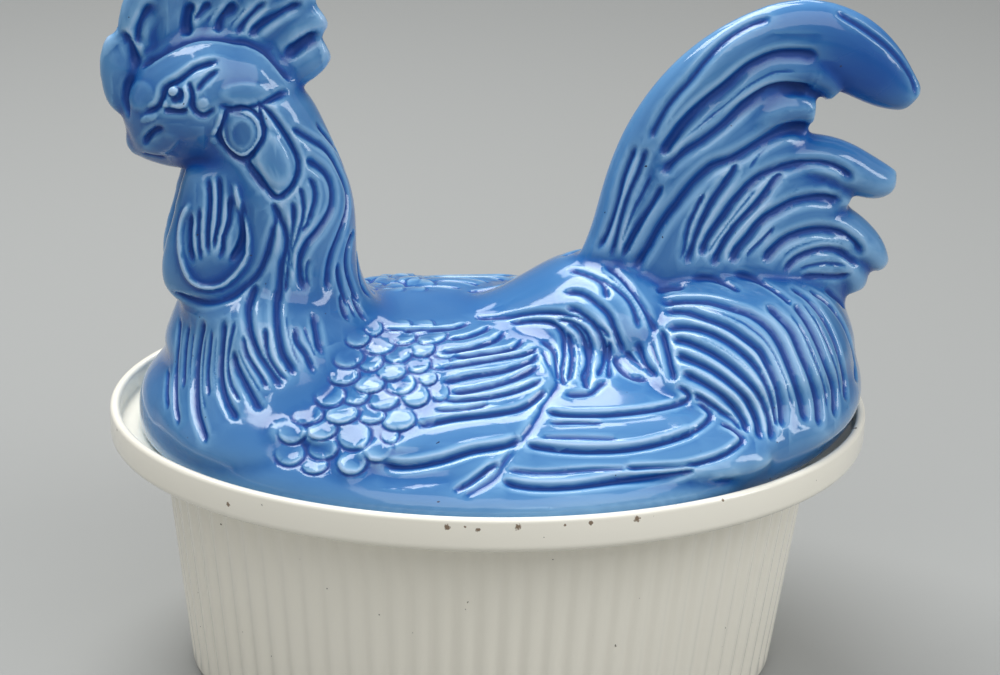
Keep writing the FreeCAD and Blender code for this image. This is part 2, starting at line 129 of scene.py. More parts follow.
def pixelRay(x, y):  # the direction from the camera through a pixel of the photograph
    ray = viewForward + viewRight * ((x - pixelCentre[0]) / focalPixels)
    return (ray - viewUp * ((y - pixelCentre[1]) / focalPixels)).normalized()


def toPixels(points):  # where points of the near side show in the photograph
    away = points - np.array(viewPlace)
    depth = away @ np.array(viewForward)
    x = pixelCentre[0] + focalPixels * (away @ np.array(viewRight)) / depth
    y = pixelCentre[1] - focalPixels * (away @ np.array(viewUp)) / depth
    return x, y


addCamera()
print("camera set")

# Shader maths
mixSlots = {"factor": 0, "first": 6, "second": 7, "result": 2}  # a Mix node's colour sockets


def fill(tree, slot, value):  # links a Socket to a node's slot, or sets the slot's own value
    if isinstance(value, Socket):
        tree.links.new(value.link, slot)
    else:
        slot.default_value = (*value, 1.0) if slot.type == "RGBA" else value


class Socket:  # wraps a socket so that expressions add their Math nodes
    def __init__(self, tree, link):
        self.tree = tree
        self.link = link

    def maths(self, operation, other, swapped=False, clamp=False):
        node = self.tree.nodes.new("ShaderNodeMath")
        node.operation = operation
        node.use_clamp = clamp
        fill(self.tree, node.inputs[1 if swapped else 0], self)
        fill(self.tree, node.inputs[0 if swapped else 1], other)
        return Socket(self.tree, node.outputs[0])

    def __add__(self, other):
        return self.maths("ADD", other)

    def __sub__(self, other):
        return self.maths("SUBTRACT", other)

    def __mul__(self, other):
        return self.maths("MULTIPLY", other)

    def __radd__(self, other):
        return self.maths("ADD", other, swapped=True)

    def __rsub__(self, other):
        return self.maths("SUBTRACT", other, swapped=True)

    def clamped(self):
        return self.maths("ADD", 0.0, clamp=True)


class Glaze:  # one node material, with short ways to add its nodes
    def __init__(self, name):
        self.material = bpy.data.materials.new(name)
        self.material.use_nodes = True
        self.tree = self.material.node_tree
        self.shader = self.tree.nodes["Principled BSDF"]

    def node(self, kind, output=0, **values):
        node = self.tree.nodes.new(kind)
        for key, value in values.items():
            fill(self.tree, node.inputs[key], value)
        return Socket(self.tree, node.outputs[output])

    def place(self):
        return self.node("ShaderNodeTexCoord", output="Object")

    def noise(self, scale, detail=2.0):
        return self.node("ShaderNodeTexNoise", Vector=self.place(), Scale=scale, Detail=detail)

    def attribute(self, name):
        read = self.node("ShaderNodeAttribute", output="Fac")
        read.link.node.attribute_name = name
        return read

    def distance(self, spot):  # metres from each point of the surface to a spot
        node = self.tree.nodes.new("ShaderNodeVectorMath")
        node.operation = "DISTANCE"
        fill(self.tree, node.inputs[0], self.place())
        fill(self.tree, node.inputs[1], spot)
        return Socket(self.tree, node.outputs["Value"])

    def ramp(self, share, stops):
        colour = self.node("ShaderNodeValToRGB", Fac=share)
        elements = colour.link.node.color_ramp.elements
        elements.remove(elements[-1])
        for index, (place, shade) in enumerate(stops):
            stop = elements[0] if index == 0 else elements.new(place)
            stop.position = place
            stop.color = (*shade, 1.0)
        return colour

    def blend(self, factor, first, second):
        node = self.tree.nodes.new("ShaderNodeMix")
        node.data_type = "RGBA"
        for name, value in (("factor", factor), ("first", first), ("second", second)):
            fill(self.tree, node.inputs[mixSlots[name]], value)
        return Socket(self.tree, node.outputs[mixSlots["result"]])

    def feed(self, name, value):
        fill(self.tree, self.shader.inputs[name], value)

    def specked(self, colour, settings):  # the colour with the small dark specks of the firing
        specks = self.noise(settings["speckScale"], detail=1.0)
        dots = ((specks - settings["speckLevel"]) * settings["speckSharp"]).clamped()
        return self.blend(dots, colour, settings["speckColour"])

    def rippled(self, settings):  # bumps the coat with fine ripples, and gives them back
        ripple = self.noise(settings["rippleScale"])
        self.feed("Coat Roughness", settings["coatRoughness"])
        self.feed("Normal", self.node("ShaderNodeBump", Strength=settings["rippleStrength"],
                                      Distance=settings["rippleHeight"] * mm, Height=ripple))
        return ripple


# Floor and lights
studio = {  # lengths in metres
    "floorColour": (0.345, 0.346, 0.332), "floorSize": 14.0, "floorGap": 0.0002,
    "wallHeight": 3.0, "wallDistance": 2.2, "wallRound": 0.9, "roundSteps": 16, "tolerance": 0.01,
    "roughness": 0.85, "specular": 0.15,
    "worldColour": (0.93, 0.95, 1.0), "worldStrength": 0.40,
    "lampColour": (0.96, 0.98, 1.0), "lampAim": (0.0, 0.0, 0.16),
    "lamps": [  # name, place, size, watts
        ("topWindow", (-0.35, 0.45, 1.5), (1.3, 0.8), 22.5),
        ("frontWindow", (0.1, -1.1, 1.45), (2.0, 1.2), 13.0),
        ("rightWindow", (1.2, -0.5, 0.9), (0.3, 0.9), 4.5),
        ("backWindow", (0.1, 1.5, 1.5), (1.4, 0.5), 7.0),
    ],
}


def selectBackEdge(floor):  # the floor's edge at the foot of the wall
    back, near = studio["wallDistance"], studio["tolerance"]
    for edge in floor.data.edges:
        ends = [floor.data.vertices[index].co for index in edge.vertices]
        edge.select = all(abs(end.y - back) < near and end.z < near for end in ends)


def addFloor():
    deselectAll()
    bpy.ops.mesh.primitive_plane_add(size=studio["floorSize"], location=(0, 0, -studio["floorGap"]))
    floor = bpy.context.active_object
    floor.name = "studioFloor"
    bpy.ops.object.mode_set(mode="EDIT")
    bpy.ops.mesh.select_all(action="SELECT")
    bpy.ops.mesh.bisect(plane_co=(0, studio["wallDistance"], 0), plane_no=(0, 1, 0), clear_outer=True)
    bpy.ops.mesh.select_mode(type="EDGE")
    bpy.ops.mesh.select_all(action="DESELECT")
    bpy.ops.object.mode_set(mode="OBJECT")
    selectBackEdge(floor)
    bpy.ops.object.mode_set(mode="EDIT")
    rise = (0, 0, studio["wallHeight"])
    bpy.ops.mesh.extrude_region_move(TRANSFORM_OT_translate={"value": rise})
    bpy.ops.object.mode_set(mode="OBJECT")
    makeActive(floor)
    bpy.ops.object.transform_apply(location=True, rotation=True, scale=True)
    selectBackEdge(floor)
    bpy.ops.object.mode_set(mode="EDIT")
    bpy.ops.mesh.bevel(offset=studio["wallRound"], segments=studio["roundSteps"], affect="EDGES")
    bpy.ops.object.mode_set(mode="OBJECT")
    bpy.ops.object.shade_smooth()
    paper = Glaze("studioPaper")
    paper.feed("Base Color", studio["floorColour"])
    paper.feed("Roughness", studio["roughness"])
    paper.feed("Specular IOR Level", studio["specular"])
    floor.data.materials.append(paper.material)


def addLamps():
    for name, place, size, watts in studio["lamps"]:
        lamp = bpy.data.lights.new(name, "AREA")
        lamp.shape = "RECTANGLE"
        lamp.size, lamp.size_y = size
        lamp.energy = watts
        lamp.color = studio["lampColour"]
        holder = bpy.data.objects.new(name, lamp)
        bpy.context.scene.collection.objects.link(holder)
        aim = Vector(studio["lampAim"]) - Vector(place)
        holder.rotation_mode = "QUATERNION"
        holder.rotation_quaternion = aim.to_track_quat("-Z", "Y")
        holder.location = place


def addWorld():
    world = bpy.data.worlds.new("studioAir")
    world.use_nodes = True
    air = world.node_tree.nodes["Background"]
    fill(world.node_tree, air.inputs["Color"], studio["worldColour"])
    fill(world.node_tree, air.inputs["Strength"], studio["worldStrength"])
    bpy.context.scene.world = world


bpy.context.scene.view_settings.view_transform = "Standard"
addFloor()
addLamps()
addWorld()
print("floor and lamps set")

# Bowl
bowl = {  # lengths in millimetres
    "halfLength": 160.0, "halfWidth": 123.0, "height": 120.0,
    "bandHeight": 15.0, "bandRound": 4.0, "rimWall": 4.0, "rimRound": 1.8,
    "gallery": 10.0, "galleryRound": 1.5, "shoulder": 21.3, "lean": 12.0, "wall": 5.2,
    "innerLean": 11.0, "floor": 6.0, "floorRound": 14.0, "floorRings": (31.0, 61.0),
    "footRound": 3.0, "footSteps": 4, "wallSteps": 8, "outsideShare": 0.995, "tolerance": 0.01,
    "flutes": 80, "flutePoints": 12, "fluteDepth": 1.0, "fluteFade": 8.0, "fluteSharp": 1.3,
    "bandFade": 1.5,
    "cloudScale": 9.0, "darkCream": (0.92, 0.875, 0.74), "paleCream": (0.96, 0.915, 0.80),
    "speckScale": 420.0, "speckLevel": 0.80, "speckSharp": 30.0, "speckColour": (0.20, 0.17, 0.13),
    "rippleScale": 60.0, "rippleStrength": 0.12, "rippleHeight": 0.6,
    "roughness": 0.14, "rippleRoughness": 0.1, "coat": 0.35, "coatRoughness": 0.06,
    "chipSizes": (0.6, 1.0, 1.4), "chipColour": (0.24, 0.17, 0.11),
    "chipScale": 900.0, "chipRagged": 1.6, "chipEdge": 3.0,
    "chips": [  # pixels in the photograph
        (117, 430), (228, 504), (447, 527), (465, 527), (478, 530), (518, 527), (565, 525),
        (591, 523), (637, 519), (723, 500), (855, 428)],
}


def roundCorner(inset, height, radius, start, end, steps):  # an arc's points, in degrees
    points = []
    for step in range(steps + 1):
        angle = math.radians(start + (end - start) * step / steps)
        points.append((inset + radius * math.cos(angle), height + radius * math.sin(angle)))
    return points


def bowlProfile():  # (inset from the rim's oval, height), from the foot outside to the floor inside
    top, band = bowl["height"], bowl["height"] - bowl["bandHeight"]
    shoulder, foot, fade = bowl["shoulder"], bowl["footRound"], bowl["fluteFade"]
    slope = bowl["lean"] / band
    edge, rim, wall, bend = (bowl[key] for key in ("bandRound", "rimRound", "rimWall", "galleryRound"))
    seat, mouth = top - bowl["gallery"], shoulder + bowl["wall"]
    inner, deep, floor = mouth + bowl["innerLean"], bowl["floorRound"], bowl["floor"]

    def onWall(height):
        return shoulder + bowl["lean"] - slope * height, height

    low, high = foot + fade, band - fade
    points = roundCorner(onWall(foot)[0] + foot, foot, foot, 270, 180, bowl["footSteps"])
    points += [onWall(foot + fade / 2), onWall(low)]
    for step in range(1, bowl["wallSteps"]):
        points.append(onWall(low + (high - low) * step / bowl["wallSteps"]))
    points += [onWall(high), onWall(band - fade / 2), onWall(band - fade / 5)]
    points += [(shoulder, band), (shoulder / 2, band)]
    for corner in (  # inset and height of its middle, radius, start and end in degrees, steps
            (edge, band + edge, edge, 270, 180, 6),
            (rim, top - rim, rim, 180, 90, 5),
            (wall - rim, top - rim, rim, 90, 0, 5),
            (wall + bend, seat + bend, bend, 180, 270, 3),
            (mouth - rim, seat - rim, rim, 90, 0, 4),
            (inner + deep, floor + deep, deep, 180, 270, 8)):
        points += roundCorner(*corner)
    return points + [(inner + ring, floor) for ring in bowl["floorRings"]]


def evenAngles(halfLength, halfWidth, count, substeps=40):  # equal walks along an oval
    fine = np.linspace(0, 2 * math.pi, substeps * count + 1)
    middle = (fine[1:] + fine[:-1]) / 2
    stride = np.hypot(halfLength * np.sin(middle), halfWidth * np.cos(middle))
    walk = np.concatenate([[0.0], np.cumsum(stride)])
    return np.interp(np.arange(count) * walk[-1] / count, walk, fine)


def halfSizes(inset):
    return bowl["halfLength"] - inset, bowl["halfWidth"] - inset


def makeBowl():
    count = bowl["flutes"] * bowl["flutePoints"]
    deselectAll()
    bpy.ops.mesh.primitive_circle_add(vertices=count, radius=1.0, fill_type="NGON", location=(0, 0, 0))
    piece = bpy.context.active_object
    piece.name = "flutedBowl"
    angles = evenAngles(*halfSizes(bowl["shoulder"]), count)
    (inset, height), *rings = bowlProfile()
    halfLength, halfWidth = halfSizes(inset)
    for vertex, angle in zip(piece.data.vertices, angles):
        vertex.co = (halfLength * mm * math.cos(angle), halfWidth * mm * math.sin(angle), height * mm)
    bpy.ops.object.mode_set(mode="EDIT")
    bpy.ops.mesh.select_mode(type="FACE")
    bpy.ops.mesh.select_all(action="SELECT")
    for nextInset, nextHeight in rings:
        nextLength, nextWidth = halfSizes(nextInset)
        rise = (0, 0, (nextHeight - height) * mm)
        bpy.ops.mesh.extrude_region_move(TRANSFORM_OT_translate={"value": rise})
        bpy.ops.transform.resize(value=(nextLength / halfLength, nextWidth / halfWidth, 1.0),
                                 center_override=(0, 0, nextHeight * mm))
        halfLength, halfWidth, height = nextLength, nextWidth, nextHeight
    bpy.ops.mesh.select_all(action="SELECT")
    bpy.ops.mesh.normals_make_consistent(inside=False)
    bpy.ops.object.mode_set(mode="OBJECT")
    carveFlutes(piece, angles)
    bpy.ops.object.shade_smooth()
    return piece


def carveFlutes(piece, angles):  # presses a wave into the wall, fading out at the foot and the band
    points = readRows(piece.data.vertices, "co") / mm
    height, foot, band = points[:, 2], bowl["footRound"], bowl["height"] - bowl["bandHeight"]
    halfLength, halfWidth = halfSizes(bowl["shoulder"] + bowl["lean"] - bowl["lean"] / band * height)
    across, deep = points[:, 0] / halfLength, points[:, 1] / halfWidth
    inWall = np.hypot(across, deep) > bowl["outsideShare"]
    inWall &= (height > foot) & (height < band - bowl["tolerance"])
    turn = np.arctan2(deep, across) % (2 * math.pi)
    place = np.interp(turn, np.append(angles, 2 * math.pi), np.arange(len(angles) + 1))
    wave = 0.5 - 0.5 * np.cos(2 * math.pi * place / bowl["flutePoints"])
    fade = ease((height - foot) / bowl["fluteFade"])
    fade *= ease((band - height) / bowl["fluteFade"] * bowl["bandFade"])
    dip = np.where(inWall, bowl["fluteDepth"] * wave ** bowl["fluteSharp"] * fade, 0.0)
    points[:, 0] *= 1 - dip / halfLength
    points[:, 1] *= 1 - dip / halfWidth
    moveVertices(piece.data, points * mm)


def chipSpots(piece):  # where the rim is chipped, with a size for each
    tree = surfaceTree(piece)
    sizes = bowl["chipSizes"]
    hits = [tree.ray_cast(viewPlace, pixelRay(*pixel))[0] for pixel in bowl["chips"]]
    return [(hit, sizes[index % len(sizes)] * mm) for index, hit in enumerate(hits) if hit]


def whiteGlaze(spots):
    glaze = Glaze("whiteGlaze")
    base = glaze.blend(glaze.noise(bowl["cloudScale"], detail=3.0), bowl["darkCream"], bowl["paleCream"])
    ragged = (glaze.noise(bowl["chipScale"]) - 0.5) * bowl["chipRagged"]
    chipped = None
    for spot, size in spots:
        share = (1.0 - glaze.distance(spot) * (1.0 / size) + ragged).clamped()
        chipped = share if chipped is None else chipped.maths("MAXIMUM", share)
    base = glaze.blend((chipped * bowl["chipEdge"]).clamped(), base, bowl["chipColour"])
    glaze.feed("Base Color", glaze.specked(base, bowl))
    glaze.feed("Roughness", bowl["roughness"] + glaze.rippled(bowl) * bowl["rippleRoughness"])
    glaze.feed("Coat Weight", bowl["coat"])
    return glaze.material


bowlPiece = makeBowl()
bowlPiece.data.materials.clear()
bowlPiece.data.materials.append(whiteGlaze(chipSpots(bowlPiece)))
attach(bowlPiece, "bowl")
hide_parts("fluted_bowl")
print("bowl made:", len(bowlPiece.data.polygons), "faces")

# Lid
lid = {  # lengths in millimetres
    "weld": 0.01, "lipHeight": 9.5, "blankVoxel": 1.5, "blankSmooth": 6, "smoothing": 0.5,
    "voxel": 0.72, "quickVoxel": 1.0, "voxelSmooth": 2, "triangles": 190000,
    "joints": [  # middle, reach of the places where two swellings run together
        ((-88, 0, 172), (56, 54, 24)), ((-112, 0, 226), (30, 30, 16)), ((-2, 0, 166), (34, 46, 16)),
        ((-70, 0, 158), (30, 60, 16)), ((-134, 0, 147), (28, 60, 18)),
        ((-130, 0, 194), (16, 12, 36)), ((106, -88, 124), (22, 26, 20))],
    "jointRounds": 110, "jointSlope": 2.0, "jointLeast": 0.01,
    "swells": [  # middle, reach and height of soft pushes outward
        ((-141, 0, 152), (14, 60, 17), -1.6), ((-125, 0, 217), (12, 16, 10), 2.2),
        ((-131, 0, 205), (10, 5, 28), 3.0), ((-157, 0, 245), (8, 12, 9), 1.6),
        ((-136, 0, 229), (9, 14, 7), 1.1), ((166, 0, 251), (14, 14, 9), 1.8),
        ((162, 0, 214), (9, 10, 9), 1.6), ((160, 0, 184), (9, 10, 10), 1.4)],
    "strokeWidth": 1.0, "strokeDepth": 1.6, "fadeLength": 6.0, "fadeShare": 0.3,
    "strokeReach": 4.5, "shoulder": 2.4, "crestPlace": 2.2, "crestWidth": 0.8,  # stroke widths
    "shoulderShare": 0.55, "crestShare": 0.10, "pathStep": 3.0,  # the path's step in pixels
    "scaleTurn": -8, "scaleHeight": 0.85, "scaleGroove": 0.38, "scaleLean": 0.3, "scaleLap": 0.75,
    "padReach": 1.3, "domeSlope": 1.6, "scaleSlope": 3.6,
    "ringPlace": 1.08, "ringWidth": 0.18, "scaleRing": 0.11,
    "poolAndShadeRounds": [(5, 0.9), (26, 0.32)],  # rounds of averaging and their weight, for pooled glaze with painted shade and thinned glaze with painted highlight
    "thickness": [  # middle, reach and amount of painted light (above 0, on the wing) and painted shade (below 0, on the face, the front of the neck and the tail tip)
        ((-138, 0, 236), (34, 60, 26), -0.20), ((150, 0, 262), (34, 40, 30), -0.30),
        ((40, -100, 140), (56, 40, 26), 0.10),
        ((-110, 0, 190), (30, 60, 26), -0.08)],
    "shades": [  # the glaze's colour from pooled glaze with painted shade to thinned glaze with painted highlight
        (0.0, (0.0, 0.042, 0.24)), (0.25, (0.001, 0.072, 0.33)), (0.46, (0.028, 0.148, 0.40)),
        (0.64, (0.092, 0.26, 0.51)), (0.82, (0.20, 0.41, 0.66)), (1.0, (0.36, 0.55, 0.78))],
    "shadeMiddle": 0.48, "thinAndLightScale": 1.05, "driftScale": 14.0, "driftShare": 0.2,
    "pooledSlope": -3.0, "pooledStart": 0.15, "pooledDull": 0.5,
    "speckScale": 380.0, "speckLevel": 0.795, "speckSharp": 30.0, "speckColour": (0.02, 0.03, 0.08),
    "rippleScale": 90.0, "rippleStrength": 0.12, "rippleHeight": 0.5,
    "roughness": 0.08, "rippleRoughness": 0.06, "specular": 0.42, "coat": 0.5, "coatRoughness": 0.06,
}
finer = {  # pixels, for the finer strokes that fill the room between two neighbours;
    # their width and depth are shares of a full stroke's
    "nearest": 7.0, "widest": 36.0, "spread": 2.2, "clearance": 4.5, "points": 14,
    "width": 0.7, "depth": 0.5,
}


def nearSide(points):  # the points folded over to the near side, as both sides are alike
    folded = points.copy()
    folded[:, 1] = -np.abs(folded[:, 1])
    return folded


def apart(points, middle, reach):  # how far points lie from a place, in shares of its reach
    return (points - np.array(middle) * mm) / (np.array(reach) * mm)


def softSpots(points, spots):  # the sum of round soft spots at each point
    total = np.zeros(len(points))
    for middle, reach, height in spots:
        total += height * np.exp(-(apart(points, middle, reach) ** 2).sum(1))
    return total


def mergedCopy(name, node):
    copy = bpy.data.objects.new(name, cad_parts[node].data.copy())
    bpy.context.scene.collection.objects.link(copy)
    makeActive(copy)
    bpy.ops.object.mode_set(mode="EDIT")
    bpy.ops.mesh.select_all(action="SELECT")
    bpy.ops.mesh.remove_doubles(threshold=lid["weld"] * mm)
    bpy.ops.object.mode_set(mode="OBJECT")
    return copy


def makeBlank():  # the plain figure with its joints run together, as glaze and slip leave them
    piece = mergedCopy("roosterLid", "rooster_lid")
    addModifier(piece, "REMESH", mode="VOXEL", voxel_size=lid["blankVoxel"] * mm)
    addModifier(piece, "SMOOTH", factor=lid["smoothing"], iterations=lid["blankSmooth"])
    points = nearSide(readRows(piece.data.vertices, "co"))
    soft = np.zeros(len(points))
    for middle, reach in lid["joints"]:
        inside = (1.0 - np.abs(apart(points, middle, reach))).min(axis=1)
        soft = np.maximum(soft, ease(inside * lid["jointSlope"]))
    joints = piece.vertex_groups.new(name="joints")
    for index in np.nonzero(soft > lid["jointLeast"])[0]:
        joints.add([int(index)], float(soft[index]), "REPLACE")
    addModifier(piece, "SMOOTH", factor=lid["smoothing"], iterations=lid["jointRounds"],
                vertex_group="joints")
    points = readRows(piece.data.vertices, "co")
    push = softSpots(points, lid["swells"]) * mm
    moveVertices(piece.data, points + readRows(piece.data.vertex_normals, "vector") * push[:, None])
    tree = surfaceTree(piece)
    voxel = lid["voxel"]
    addModifier(piece, "REMESH", mode="VOXEL", voxel_size=voxel * mm)
    addModifier(piece, "SMOOTH", factor=lid["smoothing"], iterations=lid["voxelSmooth"])
    return piece, tree


def smoothPath(pixels):  # a curve through the pixels, cut into short steps
    points = [np.array(pixel, float) for pixel in pixels]
    padded = [2 * points[0] - points[1]] + points + [2 * points[-1] - points[-2]]
    path = []
    for before, start, end, after in zip(padded, padded[1:], padded[2:], padded[3:]):
        steps = max(1, round(float(np.linalg.norm(end - start)) / lid["pathStep"]))
        for step in range(steps):
            t = step / steps
            path.append(0.5 * (2 * start + (end - before) * t
                               + (2 * before - 5 * start + 4 * end - after) * t * t
                               + (3 * start - before - 3 * end + after) * t * t * t))
    path.append(points[-1])
    return path


def onFigure(tree, x, y):  # the spot of the blank that a pixel shows
    hit = tree.ray_cast(viewPlace, pixelRay(x, y))[0]
    return None if hit is None else np.array(hit)


def measureStroke(points, path, width):  # near points, their gap, taper and side of the path
    path = np.array(path)
    reach = lid["strokeReach"] * width
    low, high = path.min(0) - reach, path.max(0) + reach
    near = np.nonzero(np.all((points > low) & (points < high), axis=1))[0]
    spots = points[near]
    nearest = np.full(len(near), np.inf)
    along = np.zeros(len(near))
    side = np.zeros(len(near))
    toCamera = np.array(viewPlace) - path[len(path) // 2]
    walked = 0.0
    for start, end in zip(path, path[1:]):
        span = end - start
        length = float(np.linalg.norm(span))
        if length == 0.0:
            continue
        t = np.clip((spots - start) @ span / length ** 2, 0.0, 1.0)
        gap = ((spots - start - t[:, None] * span) ** 2).sum(1)
        closer = gap < nearest
        nearest[closer] = gap[closer]
        along[closer] = walked + t[closer] * length
        side[closer] = np.sign(np.cross(span, spots[closer] - start) @ toCamera)
        walked += length
    fade = min(lid["fadeLength"] * mm, lid["fadeShare"] * walked)
    closed = np.allclose(path[0], path[-1])
    taper = 1.0 if closed else ease(along / fade) * ease((walked - along) / fade)
    return near, np.sqrt(nearest), taper, side


def carveStroke(points, tree, stroke, step, cuts, rises):
    breadth, depth, pixels = stroke
    spots = [onFigure(tree, *pixel) for pixel in smoothPath(pixels)]
    path = [spot for spot in spots if spot is not None]
    if len(path) < 2:
        return
    width = breadth * lid["strokeWidth"] * mm
    near, gap, taper, side = measureStroke(points, path, width)
    amount = abs(depth) * lid["strokeDepth"] * mm * taper
    line = np.exp(-(gap / width) ** 2)
    if depth < 0:  # a raised line
        rises[near] = np.maximum(rises[near], line * amount)
        return
    shoulder = np.exp(-gap / (width * lid["shoulder"]))
    crest = np.exp(-((gap / width - lid["crestPlace"]) / lid["crestWidth"]) ** 2)
    cut = amount * ((1 - lid["shoulderShare"]) * line + lid["shoulderShare"] * shoulder)
    cuts[near] = np.maximum(cuts[near], cut)
    proud = step * amount * shoulder * (1 - line) * (side > 0)
    rises[near] = np.maximum(rises[near], proud + lid["crestShare"] * amount * crest)


def gaps(first, second):  # pixels between the points of two strokes
    return np.hypot(*(first - second).reshape(-1, 2).T)


def evenly(pixels, count):  # points at equal steps along a stroke
    points = np.array(pixels, float)
    walk = np.concatenate([[0.0], np.cumsum(gaps(points[1:], points[:-1]))])
    goals = np.linspace(0.0, walk[-1], count)
    return np.stack([np.interp(goals, walk, points[:, axis]) for axis in range(2)], axis=1)


def withFiner(strokes):  # the strokes, and a finer one between any two that have room for it
    lines = [evenly(pixels, finer["points"]) for _, _, pixels in strokes]
    added = []
    for index, first in enumerate(lines):
        for second in lines[index + 1:]:
            if gaps(first, second[::-1]).mean() < gaps(first, second).mean():
                second = second[::-1]
            gap = gaps(first, second)
            if not finer["nearest"] < gap.mean() < finer["widest"]:
                continue
            if gap.max() > finer["spread"] * finer["widest"]:
                continue
            middle = (first + second)[1:-1] / 2
            room = min(gaps(middle[:, None], other[None]).min() for other in lines + added)
            if room > finer["clearance"]:
                added.append(middle)
    return strokes + [(finer["width"], finer["depth"], middle) for middle in added]


def raisePads(points, facing, tree, pads, cuts, rises, scales=False):
    slope = lid["scaleSlope"] if scales else lid["domeSlope"]
    ringWidth = lid["scaleRing"] if scales else lid["ringWidth"]
    for x, y, halfWidth, halfHeight, turn, height, groove in pads:
        centre = onFigure(tree, x, y)
        if centre is None:
            continue
        reach = lid["padReach"] * max(halfWidth, halfHeight) * mm
        near = np.nonzero((np.abs(points - centre).max(1) < reach) & facing)[0]
        px, py = toPixels(points[near])
        angle = math.radians(turn)
        across = ((px - x) * math.cos(angle) + (py - y) * math.sin(angle)) / halfWidth
        down = ((py - y) * math.cos(angle) - (px - x) * math.sin(angle)) / halfHeight
        radius = np.hypot(across, down)
        dome = ease((1.0 - radius ** 2) * slope)
        ring = np.exp(-((radius - lid["ringPlace"]) / ringWidth) ** 2)
        if scales:  # a scale is proud at its lower edge and runs under the one above it
            low = down + lid["scaleLean"] * across
            dome *= 0.5 + 0.5 * np.clip(low, -1.0, 1.0)
            ring *= ease(low + lid["scaleLap"])
        rises[near] = np.maximum(rises[near], dome * height * mm)
        cuts[near] = np.maximum(cuts[near], np.maximum(-dome * height, ring * groove) * mm)


# Feathers and face: each stroke has a width, a depth and the photograph's pixels along it
breastStrokes = [
    (0.9, 0.8, [(168, 366), (166, 392), (168, 412)]),
    (1.0, 1.0, [(180, 314), (177, 346), (175, 376), (175, 404), (179, 428)]),
    (1.4, 1.5, [(204, 316), (198, 344), (195, 376), (196, 408), (201, 428), (207, 446)]),
    (1.3, 1.4, [(224, 316), (221, 346), (220, 376), (226, 400), (239, 422)]),
    (0.9, 0.7, [(212, 324), (209, 350), (207, 376), (209, 400)]),
    (1.3, 1.3, [(232, 346), (235, 364), (243, 380), (252, 396), (258, 406), (268, 408)]),
    (1.0, 1.0, [(242, 328), (246, 352), (254, 366), (262, 378), (270, 392)]),
    (1.5, 1.5, [(258, 278), (250, 300), (248, 314), (251, 336), (259, 354), (270, 370), (284, 389)]),
    (1.2, 1.2, [(266, 322), (266, 346), (270, 360), (280, 374), (290, 384)]),
    (1.5, 1.5, [(279, 280), (277, 306), (278, 330), (282, 352), (290, 366), (296, 378)]),
    (1.1, 1.1, [(295, 323), (296, 338), (300, 346), (306, 354), (311, 366), (314, 376)]),
    (1.4, 1.3, [(313, 310), (317, 332), (320, 348), (327, 356)]),
    (1.1, 1.1, [(342, 288), (343, 306), (349, 323)]),
    (1.1, 1.1, [(352, 286), (356, 302), (364, 318), (368, 322)]),
    (0.9, 0.7, [(190, 320), (186, 340), (184, 364), (183, 392)]),
    (0.9, 0.8, [(236, 316), (230, 338), (227, 360), (230, 384), (242, 404)]),
]
combValleys = [
    (1.6, 1.8, [(138, 70), (133, 52), (126, 38), (117, 31)]),
    (1.8, 2.0, [(139, 52), (138, 34), (144, 18), (154, 0)]),
    (1.6, 1.8, [(190, 38), (187, 26), (189, 12), (194, 0)]),
    (1.2, 1.2, [(190, 24), (202, 12), (212, 0)]),
    (1.6, 1.8, [(218, 36), (220, 22), (230, 10), (238, 0)]),
    (1.4, 1.5, [(234, 39), (244, 24), (260, 8), (270, 0)]),
    (1.6, 1.8, [(246, 40), (260, 26), (282, 12), (306, 2)]),
    (1.8, 2.0, [(282, 58), (302, 44), (316, 36), (328, 35)]),
]
crestLine = [
    (1.3, 1.3, [(139, 69), (150, 60), (164, 51), (180, 43), (198, 37), (218, 37), (234, 40),
        (248, 42), (264, 50), (276, 62), (284, 72), (294, 84)]),
]
faceGrooves = [
    (1.0, 1.2, [(187, 76), (190, 86), (192, 97), (192, 104), (196, 112), (204, 116), (212, 111),
        (217, 104)]),
    (1.0, 1.1, [(193, 96), (200, 86), (210, 76), (221, 67)]),
    (1.1, 1.2, [(161, 104), (165, 110), (174, 111), (184, 111), (190, 106)]),
    (0.9, 0.9, [(168, 97), (176, 100), (181, 95), (181, 86)]),
    (1.2, 1.3, [(215, 103), (226, 108), (240, 110), (256, 106), (272, 99), (290, 90)]),
    (1.2, 1.3, [(222, 116), (219, 128), (220, 140), (228, 150), (238, 158), (246, 164), (252, 174),
        (262, 186), (270, 198)]),
    (1.3, 1.6, [(166, 127), (156, 131), (148, 138), (144, 147)]),
    (1.2, 1.2, [(136, 72), (129, 82), (126, 95), (127, 110), (131, 120)]),
    (1.0, 0.8, [(140, 153), (152, 156), (168, 158)]),
    (1.1, -1.0, [(167, 105), (176, 107), (184, 105), (187, 97), (185, 88), (183, 81)]),
    (1.3, -1.0, [(221, 110), (221, 120), (216, 131), (211, 138)]),
    (1.0, -0.9, [(225, 122), (223, 134), (228, 146), (241, 155), (253, 148), (260, 134),
        (256, 120), (245, 112), (232, 113)]),
]
earlobeRing = [
    (1.0, 1.5, [(228, 112), (242, 108), (254, 111), (262, 122), (264, 136), (256, 150), (248, 158),
        (238, 158), (228, 150), (221, 138), (222, 124), (228, 112)]),
]
dropRing = [
    (1.1, 1.6, [(260, 104), (270, 112), (282, 128), (292, 144), (299, 160), (298, 176), (290, 190),
        (278, 198), (268, 190), (258, 176), (248, 162), (256, 150), (264, 136), (262, 120),
        (260, 104)]),
]
wattleEdge = [
    (1.3, 1.2, [(268, 197), (275, 206), (276, 222), (271, 240), (266, 258), (258, 274), (246, 286),
        (230, 296), (210, 302), (190, 300), (170, 292)]),
]
wattleRim = [
    (1.1, -1.0, [(191, 200), (182, 220), (180, 240), (182, 260), (190, 279), (204, 287),
        (220, 286), (234, 276), (246, 258), (248, 240), (244, 220), (238, 200), (234, 180)]),
]
